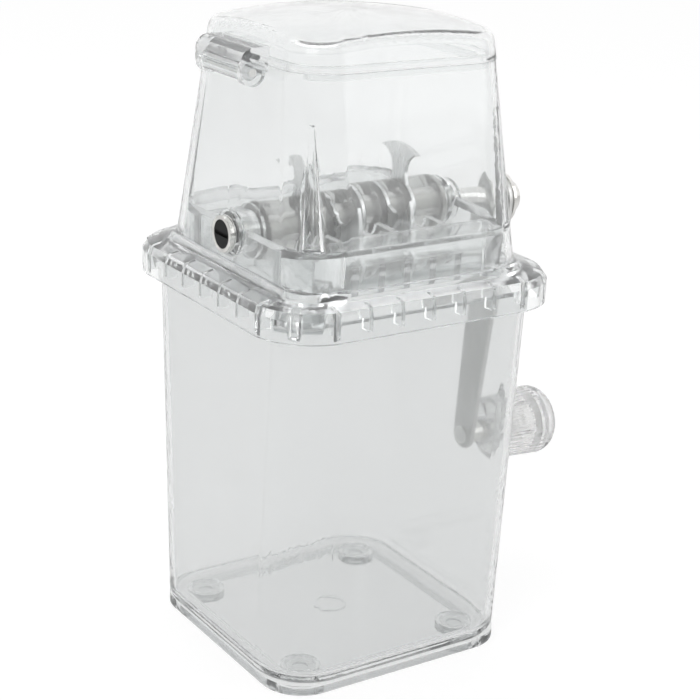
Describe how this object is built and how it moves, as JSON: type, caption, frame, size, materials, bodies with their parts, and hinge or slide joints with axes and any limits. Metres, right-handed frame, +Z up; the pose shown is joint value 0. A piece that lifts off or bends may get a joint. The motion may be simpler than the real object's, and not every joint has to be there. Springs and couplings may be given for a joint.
{
  "type": "ice crusher",
  "caption": "Clear square ice crusher with a hinged domed lid, bladed rotor over a lift-off container, and a steel side crank with a ribbed knob.",
  "frame": {"origin": "middle of the base, at the level the feet stand on", "axes": "+Z up, +X along the shaft towards the crank, +Y away from the viewer's side of the hopper"},
  "size_m": [0.1804, 0.126, 0.25],
  "materials": {
    "clear_container": "clear moulded polystyrene, glossy",
    "clear_foot": "clear soft plastic, glossy",
    "clear_housing": "clear moulded polystyrene, glossy",
    "clear_tray": "clear moulded polystyrene, glossy",
    "bush_plastic": "clear turned plastic, glossy",
    "spacer_plastic": "clear moulded plastic, glossy",
    "knob_plastic": "clear moulded polystyrene, ribbed, glossy",
    "clear_lid": "clear moulded polystyrene, glossy",
    "shaft_steel": "bright turned steel",
    "arm_steel": "satin steel strip",
    "blade_steel": "ground steel",
    "bright_steel": "plated, mirror bright",
    "dark_steel": "blackened steel",
    "black_washer": "black, satin"
  },
  "bodies": {
    "container": {"container": "clear_container", "feet": "clear_foot"},
    "housing": {"housing": "clear_housing", "comb_tray": "clear_tray", "left_bush": "bush_plastic", "right_bush": "bush_plastic", "hinge_pin": "shaft_steel"},
    "lid": {"lid": "clear_lid"},
    "crank": {"drive_shaft": "shaft_steel", "left_washer": "black_washer", "right_washer": "black_washer", "end_screw": "dark_steel", "end_ring": "bright_steel", "crank_arm": "arm_steel", "cap_nut": "bright_steel", "knob_axle": "shaft_steel", "knob_collar": "bright_steel", "blade_1": "blade_steel", "blade_2": "blade_steel", "blade_3": "blade_steel", "blade_4": "blade_steel", "blade_5": "blade_steel", "rotor_spacer_1": "spacer_plastic", "rotor_spacer_2": "spacer_plastic", "rotor_spacer_3": "spacer_plastic", "rotor_spacer_4": "spacer_plastic", "rotor_spacer_5": "spacer_plastic", "rotor_spacer_6": "spacer_plastic"},
    "knob": {"knob": "knob_plastic", "knob_cap": "knob_plastic"}
  },
  "joints": [
    {"name": "housing_lift", "type": "slide", "parent": "container", "child": "housing", "axis": [0, 0, 1], "range_m": [0, 0.03]},
    {"name": "lid_hinge", "type": "hinge", "parent": "housing", "child": "lid", "pos_m": [-0.051, 0, 0.2322], "axis": [0, -1, 0], "range_deg": [0, 105]},
    {"name": "crank_spin", "type": "hinge", "parent": "housing", "child": "crank", "pos_m": [0, 0, 0.17], "axis": [1, 0, 0], "continuous": true},
    {"name": "knob_spin", "type": "hinge", "parent": "crank", "child": "knob", "pos_m": [0, 0.01104, 0.06317], "axis": [1, 0, 0], "continuous": true}
  ]
}
